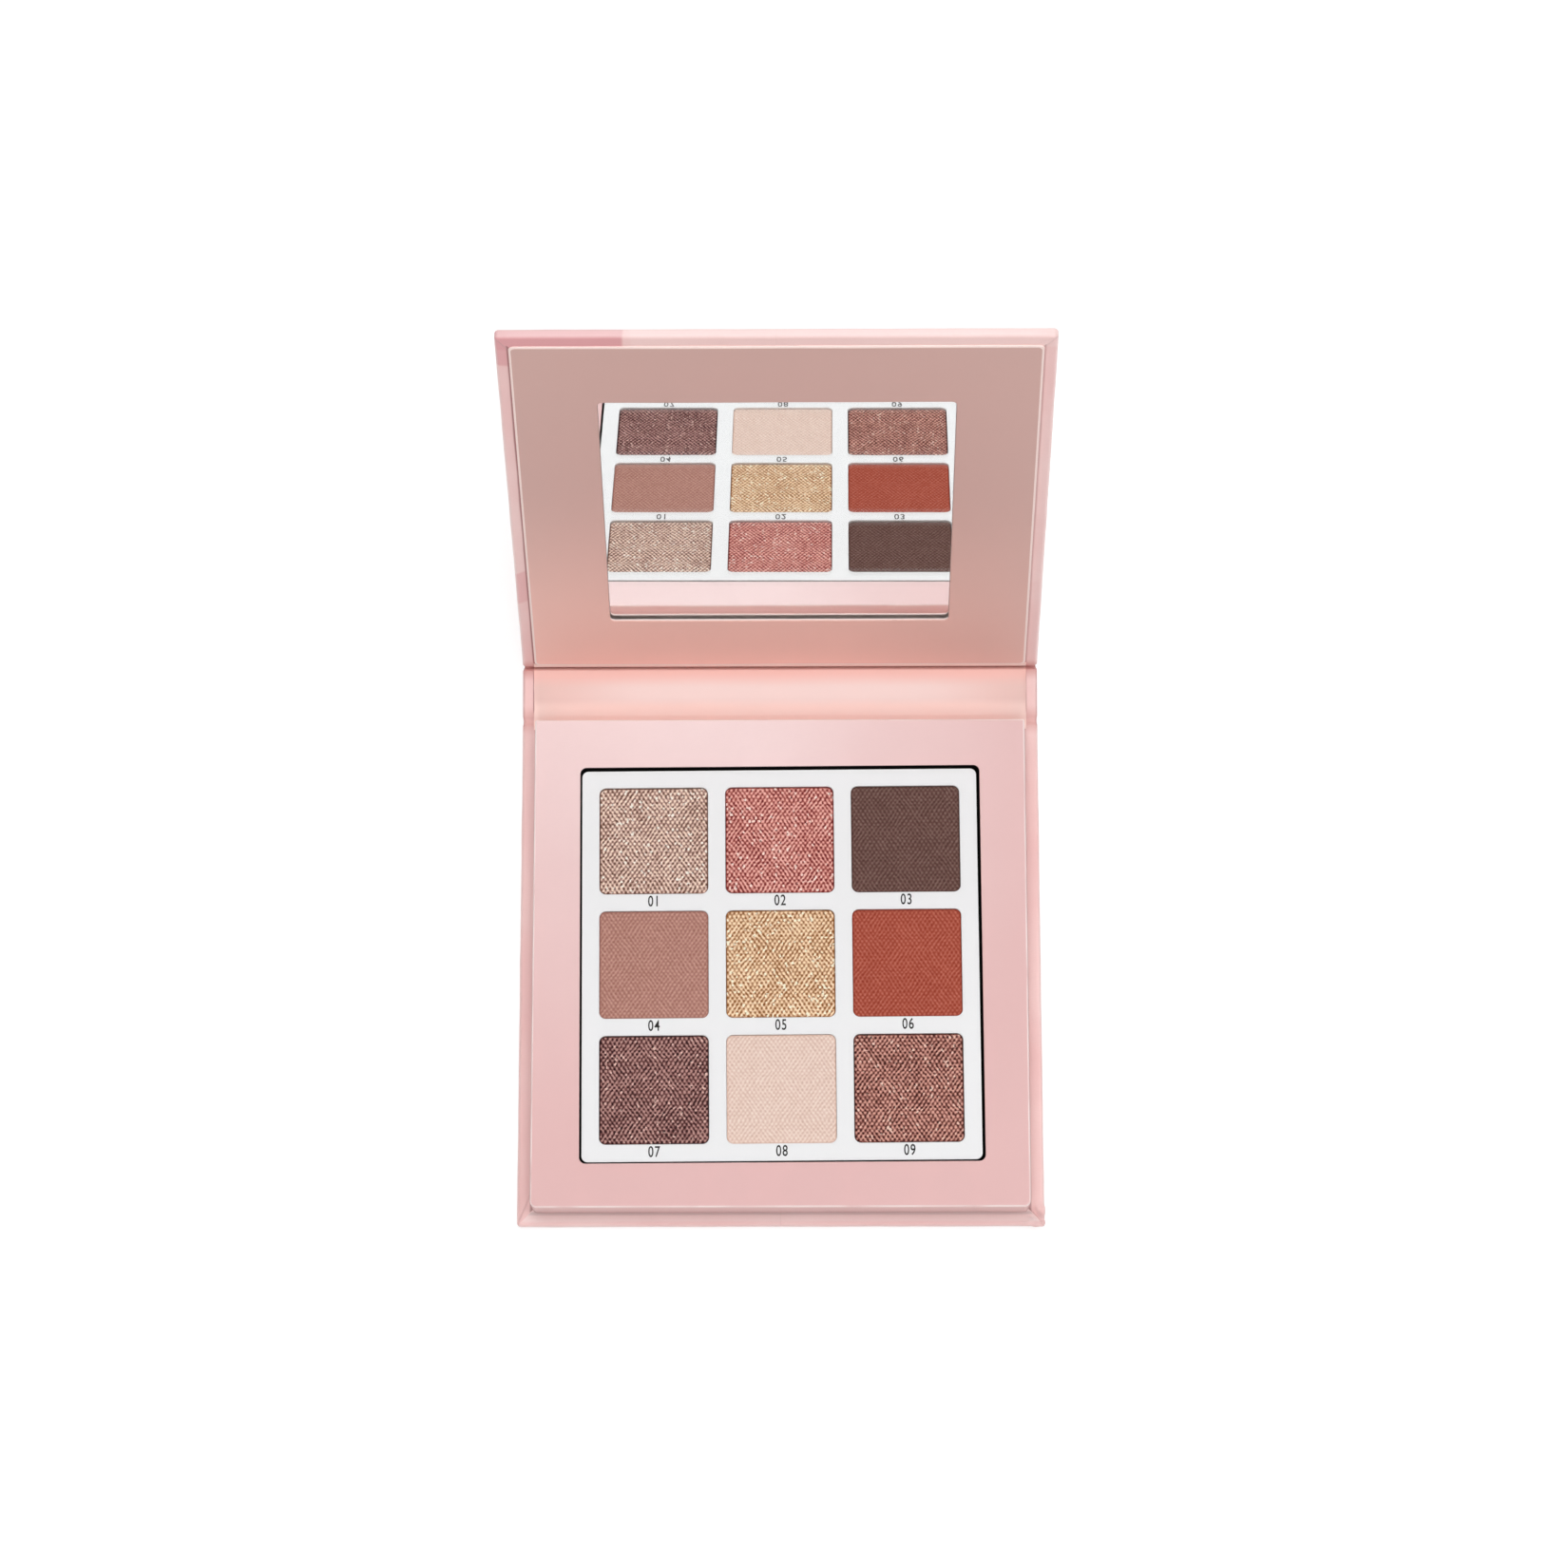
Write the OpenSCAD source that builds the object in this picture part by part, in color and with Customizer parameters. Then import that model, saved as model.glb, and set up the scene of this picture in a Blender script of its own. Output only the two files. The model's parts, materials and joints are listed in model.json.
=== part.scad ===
// Book-style eyeshadow palette with nine square pans, standing open on a table.
// Origin: centre of the base cover's underside. +X right, +Y towards the hinge, +Z up. Millimetres.

/* [Case] */
// Width of the case, side to side
case_w = 100; // [98:1:120]
// Depth of the base cover and of the lid, hinge edge to free edge
case_d = 97.5; // [97:0.5:115]
// Thickness of the greyboard in each cover
board_t = 1.6; // [1.4:0.1:2.2]
// Thickness of the printed wrap paper
paper_t = 0.2; // [0.15:0.05:0.25]
// Width of wrap paper folded over onto the inner face
turn_in = 15; // [12:0.5:15]
// Radius of the covers' free corners
corner_r = 0.8; // [0.4:0.1:1.5]

/* [Hinge] */
// Board-free gap in the wrap at each hinge line
hinge_gap = 2.4; // [2.4:0.1:3.2]
// Width of the spine board
spine_w = 8.6; // [8.4:0.1:10]
// Angle of the spine above the table at rest
spine_rest = 10; // [0:1:30]
// Angle of the lid above the table at rest
lid_rest = 68; // [40:1:85]

/* [Platform] */
// Border of the base cover that the platform leaves clear at each side
margin = 2.9; // [2:0.1:4]
// Border of the base cover in front of the platform
front_margin = 2.5; // [2:0.1:4]
// Distance from the platform's back wall to the hinge edge of the board
setback = 0.65; // [0.5:0.05:1]
// Height of the platform above the base cover
platform_h = 8; // [7.6:0.1:8]
// Distance of the well's centre in front of the platform's centre
well_forward = 0.4; // [0:0.1:1]

/* [Pans] */
// Outer side of a square pan
pan_side = 21.4; // [20:0.1:22]
// Height of a pan
pan_h = 4; // [3:0.1:4.2]
// Sheet thickness of a pan
pan_t = 0.3; // [0.2:0.05:0.4]
// Centre-to-centre distance of the pans
pan_pitch = 24.1; // [24:0.1:25]
// Side of a window in the deck card
window_side = 20.8; // [19:0.1:20.8]
// Thickness of the deck card
deck_t = 0.5; // [0.3:0.1:0.6]
// Border of the deck card outside the outer windows
deck_border = 3.3; // [3:0.05:3.6]
// Clear gap between the deck and the well
well_gap = 0.5; // [0.4:0.05:0.6]
// Turn of the loose deck in its well
deck_turn = 0.35; // [0:0.05:0.4]

/* [Lid] */
// Side of the mirror window in the lid liner
mirror_window = 64.8; // [60:0.1:66]
// Distance from the lid hinge axis to the centre of the mirror
mirror_up = 48.6; // [47:0.1:50]
// Thickness of the lid liner card
liner_t = 0.5; // [0.3:0.1:0.5]
// Border that the lid liner leaves clear at the sides and the free edge
liner_margin = 2.4; // [2:0.1:3]
// Distance that the mirror reaches under the liner
mirror_lap = 1.6; // [1:0.1:1.8]

/* [Hidden] */
$fn = 48;

wrap_pink = "#eab8b6";
liner_pink = "#e8b4ac";
grey = "#9a948c";
powder_colours = ["#bd9a88", "#bf6a68", "#5c4842", "#b98474", "#d2a468", "#a84a38", "#75504f", "#edcdb8",
    "#865a54"];

cover_t = board_t + 2 * paper_t;
mid = cover_t / 2;
core_mid = board_t / 2;
half_gap = hinge_gap / 2;
front_y = -case_d / 2;
back_y = case_d / 2;
hinge_y = back_y + half_gap;
spine_pitch = spine_w + hinge_gap;
board_w = case_w - 2 * paper_t;
board_r = corner_r - paper_t;
strip_w = case_w - 4.4;
flap_w = case_w - 2 * turn_in;
flap_l = 12.6;

platform_w = case_w - 2 * margin;
platform_y0 = front_y + front_margin;
platform_y1 = back_y - setback;
platform_z1 = cover_t + platform_h;
platform_r = 1.2;
platform_back_r = 0.4;
core_w = platform_w - 2 * paper_t;
core_y0 = platform_y0 + paper_t;
core_y1 = platform_y1 - paper_t;
core_z1 = platform_z1 - paper_t;
core_r = platform_r - paper_t;
core_back_r = platform_back_r - paper_t;
well_y = (platform_y0 + platform_y1) / 2 - well_forward;

black_t = 0.4;
deck_w = 2 * pan_pitch + window_side + 2 * deck_border;
deck_x = 0.1;
well_x = 0.2;
well_turn = 0.3;
deck_y = well_y - 0.2;
deck_r = 1.2;
window_r = 1.3;
well_w = deck_w + 2 * well_gap;
well_floor_z = cover_t + black_t;
deck_z1 = platform_z1 - 0.2;
deck_z0 = deck_z1 - deck_t;
pan_z0 = deck_z0 - pan_h;
pan_r = 1.5;
glue_t = 0.2;
glue_r = 5;
pocket_clear = 0.15;
tray_w = deck_w - 0.2;
powder_gap = 0.05;
powder_side = pan_side - 2 * (pan_t + powder_gap);
powder_r = pan_r - pan_t - powder_gap;
powder_z1 = deck_z1 - 0.25;

magnet_r = 3;
magnet_h = 2;
magnet_x = 26;
base_magnet_y = (platform_y0 + well_y - well_w / 2) / 2;

lid_y0 = half_gap;
lid_y1 = half_gap + case_d;
liner_y0 = 2;
liner_w = case_w - 2 * liner_margin;
mirror_w = mirror_window + 2 * mirror_lap;
silver_t = 0.1;
tape_t = 0.2;
mirror_z0 = core_mid - 1;
recess_w = mirror_w + 0.4;
lid_magnet_y = hinge_y - base_magnet_y;
lid_magnet_h = 1;

// Rectangle w wide and centred on x, from y0 to y1, with radius r0 on the corners at y0 and r1 on those at y1
module outline(w, y0, y1, r0, r1) {
    translate([-w / 2, y0 + r0]) square([w, y1 - r1 - y0 - r0]);
    if (r0 > 0) corner_row(w, y0, y0 + r0, y0 + r0, r0);
    if (r1 > 0) corner_row(w, y1 - r1, y1, y1 - r1, r1);
}

// Two corner circles of radius r centred at y, joined by a bar from ya to yb
module corner_row(w, ya, yb, y, r) {
    translate([-w / 2 + r, ya]) square([w - 2 * r, yb - ya]);
    for (side = [-1, 1]) translate([side * (w / 2 - r), y]) circle(r);
}

module slab(w, y0, y1, z0, z1, r0 = 0, r1 = 0) {
    translate([0, 0, z0]) linear_extrude(z1 - z0) outline(w, y0, y1, r0, r1);
}

module rounded_square(side, z0, z1, r) {
    slab(side, -side / 2, side / 2, z0, z1, r, r);
}

// Frame of the spine: origin on the base hinge axis, +Y along the spine, +Z towards the inner face
module on_spine() {
    translate([0, hinge_y, mid]) rotate([spine_rest, 0, 0]) children();
}

// Frame of the lid: origin on the lid hinge axis, +Y along the lid, +Z towards the mirror
module on_lid() {
    on_spine() translate([0, spine_pitch, 0]) rotate([lid_rest - spine_rest, 0, 0]) children();
}

module at_magnets(y, z) {
    for (x = [-magnet_x, magnet_x]) translate([x, y, z]) children();
}

// Place of the well, cut a little askew in the platform
module at_well() {
    translate([well_x, well_y, 0]) rotate(well_turn) children();
}

module in_well() {
    translate([deck_x, deck_y, 0]) rotate(deck_turn) children();
}

// Place of pan number n, counted from the back left corner along each row
module at_pan(n) {
    column = (n - 1) % 3 - 1;
    row = 1 - floor((n - 1) / 3);
    in_well() translate([column * pan_pitch, row * pan_pitch, 0]) children();
}

// Paper round a board from y0 to y1: the outer face, the edges and a turned-in border of the inner face.
// r0 and r1 are the corner radii, and open0 and open1 say which ends carry on into a hinge.
module cover_wrap(y0, y1, r0, r1, open0, open1) {
    difference() {
        slab(case_w, y0, y1, -mid, mid, r0, r1);
        slab(board_w, y0 + (open0 ? -1 : paper_t), y1 + (open1 ? 1 : -paper_t), -core_mid, core_mid,
            open0 ? 0 : board_r, open1 ? 0 : board_r);
        slab(flap_w, y0 + (open0 ? -1 : turn_in), y1 + (open1 ? 1 : -turn_in), 0, mid + 1);
    }
}

// Extrudes a section drawn in the (y, z) plane from x0 to x1
module along_x(x0, x1) {
    translate([x0, 0, 0]) rotate([90, 0, 90]) linear_extrude(x1 - x0) children();
}

// A paper layer across a hinge gap, from height h0 to h1 above the hinge axis, folded inwards by angle
module fold(angle, h0, h1, x0, x1) {
    crease = function(h) [-h * tan(angle / 2), h];
    far = function(h) [half_gap * cos(angle) - h * sin(angle), half_gap * sin(angle) + h * cos(angle)];
    along_x(x0, x1) polygon([[-half_gap, h0], crease(h0), far(h0), far(h1), crease(h1), [-half_gap, h1]]);
}

// Wrap paper across a hinge gap: the outer sheet, its folded side edges and the turned-in borders
module hinge_wrap(angle) {
    fold(angle, -mid, -core_mid, -case_w / 2, case_w / 2);
    for (side = [-1, 1]) {
        edge = side * case_w / 2;
        fold(angle, -mid, mid, min(edge, edge - side * paper_t), max(edge, edge - side * paper_t));
        fold(angle, core_mid, mid, min(edge, edge - side * turn_in), max(edge, edge - side * turn_in));
    }
}

module hinge_liner(angle) fold(angle, mid, mid + paper_t, -strip_w / 2, strip_w / 2);

// ---- base ----

module base_board() color(grey) slab(board_w, front_y + paper_t, back_y, paper_t, cover_t - paper_t, board_r);

module base_wrap() color(wrap_pink) translate([0, 0, mid])
    cover_wrap(front_y, back_y, corner_r, 0, false, true);

module base_liner_flap() color(liner_pink) {
    slab(flap_w, back_y - flap_l, back_y, cover_t - paper_t, cover_t);
    slab(strip_w, platform_y1, back_y, cover_t, cover_t + paper_t);
}

module platform_adhesive() color("#e8e2d0")
    slab(flap_w, front_y + turn_in, back_y - flap_l, cover_t - paper_t, cover_t);

module platform_core() color(grey) difference() {
    slab(core_w, core_y0, core_y1, cover_t, core_z1, core_r, core_back_r);
    at_well()
      rounded_square(well_w + 2 * black_t, cover_t - 1, platform_z1, deck_r + black_t);
    at_magnets(base_magnet_y, core_z1 - magnet_h) cylinder(r = magnet_r, h = magnet_h + 1);
}

module platform_wrap() color(wrap_pink) difference() {
    slab(platform_w, platform_y0, platform_y1, cover_t, platform_z1, platform_r, platform_back_r);
    slab(core_w, core_y0, core_y1, cover_t - 1, core_z1, core_r, core_back_r);
    at_well() rounded_square(well_w, cover_t, platform_z1 + 1, deck_r);
}

module well_floor() color("#141212") at_well()
    rounded_square(well_w + 2 * black_t, cover_t, well_floor_z, deck_r + black_t);

module well_liner() color("#141212") at_well() difference() {
    rounded_square(well_w + 2 * black_t, well_floor_z, platform_z1 - paper_t, deck_r + black_t);
    rounded_square(well_w, well_floor_z - 1, platform_z1, deck_r);
}

module base_magnets() color("silver") at_magnets(base_magnet_y, core_z1 - magnet_h)
    cylinder(r = magnet_r, h = magnet_h);

// ---- pan tray, deck, pans and powder ----

module pan_tray() color("#1a1918") difference() {
    in_well() rounded_square(tray_w, well_floor_z, deck_z0, deck_r);
    for (n = [1 : 9]) at_pan(n)
        rounded_square(pan_side + 2 * pocket_clear, pan_z0 - glue_t, deck_z0 + 1, pan_r + pocket_clear);
}

module deck_card() color("#f1f2f2") difference() {
    in_well() rounded_square(deck_w, deck_z0, deck_z1, deck_r);
    for (n = [1 : 9]) at_pan(n) rounded_square(window_side, deck_z0 - 1, deck_z1 + 1, window_r);
}

module pan_adhesive() color("#e8e2d0") for (n = [1 : 9]) at_pan(n)
    translate([0, 0, pan_z0 - glue_t]) cylinder(r = glue_r, h = glue_t);

module pan(n) color("#c9cbcd") at_pan(n) difference() {
    rounded_square(pan_side, pan_z0, deck_z0, pan_r);
    rounded_square(pan_side - 2 * pan_t, pan_z0 + pan_t, deck_z0 + 1, pan_r - pan_t);
}

module powder(n) color(powder_colours[n - 1]) at_pan(n)
    rounded_square(powder_side, pan_z0 + pan_t, powder_z1, powder_r);

// ---- spine and hinges ----

module base_hinge_wrap() color(wrap_pink) translate([0, hinge_y, mid]) hinge_wrap(spine_rest);

module base_hinge_liner() color(liner_pink) translate([0, hinge_y, mid]) hinge_liner(spine_rest);

module spine_board() color(grey) on_spine() slab(board_w, half_gap, half_gap + spine_w, -core_mid, core_mid);

module spine_wrap() color(wrap_pink) on_spine() cover_wrap(half_gap, half_gap + spine_w, 0, 0, true, true);

module spine_liner() color(liner_pink) on_spine() {
    slab(flap_w, half_gap, half_gap + spine_w, core_mid, mid);
    slab(strip_w, half_gap, half_gap + spine_w, mid, mid + paper_t);
}

module lid_hinge_wrap() color(wrap_pink) on_spine() translate([0, spine_pitch, 0])
    hinge_wrap(lid_rest - spine_rest);

module lid_hinge_liner() color(liner_pink) on_spine() translate([0, spine_pitch, 0])
    hinge_liner(lid_rest - spine_rest);

// ---- lid ----

module lid_board() color(grey) on_lid()
    slab(board_w, lid_y0, lid_y1 - paper_t, -core_mid, mirror_z0, 0, board_r);

module lid_frame_board() color(grey) on_lid() difference() {
    slab(board_w, lid_y0, lid_y1 - paper_t, mirror_z0, core_mid, 0, board_r);
    translate([0, mirror_up, 0]) rounded_square(recess_w, mirror_z0 - 1, core_mid + 1, 1);
    at_magnets(lid_magnet_y, core_mid - lid_magnet_h) cylinder(r = magnet_r, h = 2 * lid_magnet_h);
}

module lid_wrap() color(wrap_pink) on_lid() cover_wrap(lid_y0, lid_y1, 0, corner_r, true, false);

module lid_liner() color(liner_pink) on_lid() difference() {
    slab(liner_w, liner_y0, lid_y1 - liner_margin, mid, mid + liner_t, 0.5, 1);
    translate([0, mirror_up, 0]) rounded_square(mirror_window, mid - 1, mid + 2, 1);
}

module lid_liner_flap() color(liner_pink) on_lid() {
    slab(flap_w, half_gap, half_gap + flap_l, core_mid, mid);
    slab(strip_w, half_gap, liner_y0, mid, mid + paper_t);
}

module mirror_glass() color("lightblue", 0.4) on_lid() translate([0, mirror_up, 0])
    rounded_square(mirror_w, mirror_z0 + tape_t + silver_t, mid, 0.6);

module mirror_silver() color("#dfe3e6") on_lid() translate([0, mirror_up, 0])
    rounded_square(mirror_w, mirror_z0 + tape_t, mirror_z0 + tape_t + silver_t, 0.6);

module mirror_tape() color("#f4f0e4") on_lid() translate([0, mirror_up, 0])
    rounded_square(mirror_w - 6, mirror_z0, mirror_z0 + tape_t, 0.6);

module lid_magnets() color("silver") on_lid() at_magnets(lid_magnet_y, core_mid - lid_magnet_h)
    cylinder(r = magnet_r, h = lid_magnet_h);

base_board();
base_wrap();
base_liner_flap();
platform_adhesive();
platform_core();
platform_wrap();
well_floor();
well_liner();
pan_tray();
deck_card();
pan_adhesive();
base_magnets();
for (n = [1 : 9]) pan(n);
for (n = [1 : 9]) powder(n);
base_hinge_wrap();
base_hinge_liner();
spine_board();
spine_wrap();
spine_liner();
lid_hinge_wrap();
lid_hinge_liner();
lid_board();
lid_frame_board();
lid_wrap();
lid_liner();
lid_liner_flap();
mirror_glass();
mirror_silver();
mirror_tape();
lid_magnets();
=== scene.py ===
import json
import math

import bmesh
import bpy
import numpy as np
from mathutils import Matrix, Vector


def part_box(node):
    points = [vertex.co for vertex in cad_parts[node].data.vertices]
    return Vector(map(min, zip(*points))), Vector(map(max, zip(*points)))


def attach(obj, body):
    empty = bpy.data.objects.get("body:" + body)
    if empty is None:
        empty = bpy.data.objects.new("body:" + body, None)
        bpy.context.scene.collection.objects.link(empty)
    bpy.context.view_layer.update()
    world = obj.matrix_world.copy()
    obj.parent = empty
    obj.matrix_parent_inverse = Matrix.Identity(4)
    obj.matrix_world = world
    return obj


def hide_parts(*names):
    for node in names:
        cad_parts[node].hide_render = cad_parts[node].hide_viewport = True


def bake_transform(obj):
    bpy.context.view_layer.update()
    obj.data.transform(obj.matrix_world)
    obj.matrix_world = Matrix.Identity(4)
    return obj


mm = 0.001
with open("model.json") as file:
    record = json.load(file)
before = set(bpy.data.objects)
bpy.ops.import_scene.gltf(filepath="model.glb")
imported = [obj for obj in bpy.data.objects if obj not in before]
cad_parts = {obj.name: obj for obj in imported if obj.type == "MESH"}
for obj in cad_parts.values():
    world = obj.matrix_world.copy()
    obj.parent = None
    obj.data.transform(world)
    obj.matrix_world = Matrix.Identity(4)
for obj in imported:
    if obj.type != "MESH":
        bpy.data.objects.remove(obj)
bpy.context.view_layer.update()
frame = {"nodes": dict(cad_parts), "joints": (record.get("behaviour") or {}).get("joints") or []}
nodes = frame["nodes"]
joints = {joint["name"]: joint for joint in frame["joints"]}


def corners(node):
    low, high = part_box(node)
    return np.array(low) / mm, np.array(high) / mm


# the frame's own measures, in millimetres
caseLow, caseHigh = corners("base_wrap")
halfWidth = caseHigh[0]
caseDepth = caseHigh[1] - caseLow[1]
boardThick = caseHigh[2] - caseLow[2]
midPlane = boardThick / 2
baseAxis = np.array(joints["spine_hinge"]["pos_m"]) / mm
lidAxis = np.array(joints["lid_hinge"]["pos_m"]) / mm
spineAngle = math.radians(-joints["spine_hinge"]["range_deg"][0])
lidAngle = spineAngle + math.radians(-joints["lid_hinge"]["range_deg"][0])
axisPitch = float(np.linalg.norm(lidAxis - baseAxis))
baseLine = baseAxis[1]
lidLine = baseLine + axisPitch
halfGap = baseLine - caseHigh[1]
spineStart, spineEnd = baseLine + halfGap, lidLine - halfGap
lidStart, lidEnd = lidLine + halfGap, lidLine + halfGap + caseDepth

sheet = {
    "paper": 0.2,
    "edgeRadius": 0.6,
    "cornerRadius": 0.8,
    "turnIn": 15,
    "creaseSpan": 1.0,  # length along the case in which a crease bends
    "sidePull": 0.3,  # how far the gaps' edges draw in
    "linerHalf": 47.8,
    "basePinch": 0.3,  # depth of the paper in each hinge gap
    "lidPinch": 1.0,
    "edgeLift": 0.14,  # loose long edge of the liner
    "hingeRows": 25,
    "spineRows": 30,
    "lidHingeRows": 41,
}


# from 0 to 1 with no slope at either end: 3 t squared less 2 t cubed
def smooth(t):
    t = np.clip(t, 0, 1)
    return t * t * (3 - 2 * t)


# a point turned about the origin
def turned(y, z, angle):
    return y * np.cos(angle) - z * np.sin(angle), y * np.sin(angle) + z * np.cos(angle)


# Laid flat to rest pose: a point at x, s along the case and h above the boards' mid-plane is turned about
# the lid axis past the lid crease, then about the base axis past the base crease.
def toRest(x, s, h):
    x, s, h = np.broadcast_arrays(x, s, h)
    lidTurn = (lidAngle - spineAngle) * smooth((s - lidLine) / sheet["creaseSpan"] + 0.5)
    spineTurn = spineAngle * smooth((s - baseLine) / sheet["creaseSpan"] + 0.5)
    y, z = turned(s - lidLine, h, lidTurn)
    y, z = turned(y + lidLine - baseLine, z, spineTurn)
    return np.stack([x, y + baseLine, z + midPlane], axis=-1)


# 1 in the middle of a hinge gap, falling to 0 with no slope at the boards
def gapBump(s, line):
    return np.clip(1 - ((s - line) / halfGap) ** 2, 0, 1) ** 2


# a sum of sines of falling height, the same each run for the same seed
def ripple(t, wavelength, seed):
    phases = np.random.default_rng(seed).uniform(0, 2 * math.pi, 5)
    waves = [np.sin(2 * math.pi * t * (1 + 0.73 * k) / wavelength + phases[k]) / (1 + k) for k in range(5)]
    return sum(waves) / 2


# four-sided faces between the points of a grid, which may close on itself either way
def gridFaces(rows, columns, closedRows=False, closedColumns=False):
    i = np.arange(rows if closedRows else rows - 1)[:, None]
    j = np.arange(columns if closedColumns else columns - 1)[None, :]
    below, right = (i + 1) % rows, (j + 1) % columns
    quads = [i * columns + j, below * columns + j, below * columns + right, i * columns + right]
    return np.stack([np.broadcast_to(q, (i.size, j.size)) for q in quads], axis=-1).reshape(-1, 4)


# A patch is a grid of points in millimetres, with its material slots, UV places and a relief value.
def patch(points, closedRows=False, closedColumns=False, slot=0, uv=None, relief=None):
    rows, columns = points.shape[:2]
    faces = gridFaces(rows, columns, closedRows, closedColumns)
    slots = np.asarray(slot)
    if slots.ndim:
        slots = np.tile(slots, len(faces) // slots.size)
    return {
        "points": points.reshape(-1, 3),
        "faces": faces,
        "slots": np.broadcast_to(slots, len(faces)),
        "uv": None if uv is None else uv.reshape(-1, 2),
        "relief": np.zeros(rows * columns) if relief is None else relief.reshape(-1),
    }


weldReach = 0.002  # points as near as this become one


def placed(name, data):
    made = bpy.data.objects.new(name, data)
    bpy.context.scene.collection.objects.link(made)
    return made


# Joins patches to one closed mesh, welds what meets, turns the faces outwards and rides it on a body.
def makePiece(name, patches, materials, body=None, replaced=(), sharp=38):
    counts = np.cumsum([0] + [len(part["points"]) for part in patches])
    faces = np.concatenate([part["faces"] + first for part, first in zip(patches, counts)])
    points = np.concatenate([part["points"] for part in patches]) * mm
    slots = np.concatenate([part["slots"] for part in patches])
    relief = np.concatenate([part["relief"] for part in patches])
    mesh = bpy.data.meshes.new(name)
    mesh.from_pydata(points.tolist(), [], faces.tolist())
    mesh.polygons.foreach_set("material_index", slots.astype(np.int32))
    if any(part["uv"] is not None for part in patches):
        places = [part["points"][:, :2] if part["uv"] is None else part["uv"] for part in patches]
        flat = np.concatenate(places)[faces.ravel()] * mm
        layer = mesh.uv_layers.new(name="sheet")
        layer.data.foreach_set("uv", flat.astype(np.float32).ravel())
    if relief.any():
        attribute = mesh.attributes.new("relief", "FLOAT", "POINT")
        attribute.data.foreach_set("value", relief.astype(np.float32))
    shape = bmesh.new()
    shape.from_mesh(mesh)
    bmesh.ops.remove_doubles(shape, verts=shape.verts, dist=weldReach * mm)
    bmesh.ops.dissolve_degenerate(shape, edges=shape.edges, dist=0.1 * weldReach * mm)
    bmesh.ops.recalc_face_normals(shape, faces=shape.faces)
    shape.to_mesh(mesh)
    shape.free()
    mesh.shade_smooth()
    mesh.set_sharp_from_angle(angle=math.radians(sharp))
    for material in materials:
        mesh.materials.append(material)
    piece = placed(name, mesh)
    if body:
        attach(piece, body)
    if replaced:
        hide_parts(*replaced)
    return piece


# Closes a sheet: its outer grid, the grid one thickness inside it and a rim along every open side. With
# meeting, the last column closes on itself and needs no rim.
def closedSheet(outer, inner, uv, relief=None, meeting=False):
    whole = slice(None)
    rims = [(0, whole), (-1, whole), (whole, 0), (whole, -1)]
    sides = [patch(outer, uv=uv, relief=relief), patch(inner, uv=uv)]
    for rim in rims[: 3 if meeting else 4]:
        sides.append(patch(np.stack([outer[rim], inner[rim]]), uv=np.stack([uv[rim], uv[rim]])))
    return sides


class Value:
    # a socket of a material's node tree; arithmetic on it adds Math nodes
    def __init__(self, paint, socket):
        self.paint, self.socket = paint, socket

    def math(self, operation, *terms):
        return self.paint.node("Math", {"operation": operation}, dict(enumerate(terms)))

    def __add__(self, other):
        return self.math("ADD", self, other)

    def __radd__(self, other):
        return self.math("ADD", other, self)

    def __sub__(self, other):
        return self.math("SUBTRACT", self, other)

    def __rsub__(self, other):
        return self.math("SUBTRACT", other, self)

    def __mul__(self, other):
        return self.math("MULTIPLY", self, other)

    def __rmul__(self, other):
        return self.math("MULTIPLY", other, self)

    def __pow__(self, other):
        return self.math("POWER", self, other)

    def most(self, other):
        return self.math("MAXIMUM", self, other)

    def size(self):
        return self.math("ABSOLUTE", self)

    # smoothly from 0 at low to 1 at high
    def ramp(self, low, high):
        inputs = {"Value": self, "From Min": low, "From Max": high}
        return self.paint.node("MapRange", {"interpolation_type": "SMOOTHSTEP"}, inputs)


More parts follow.
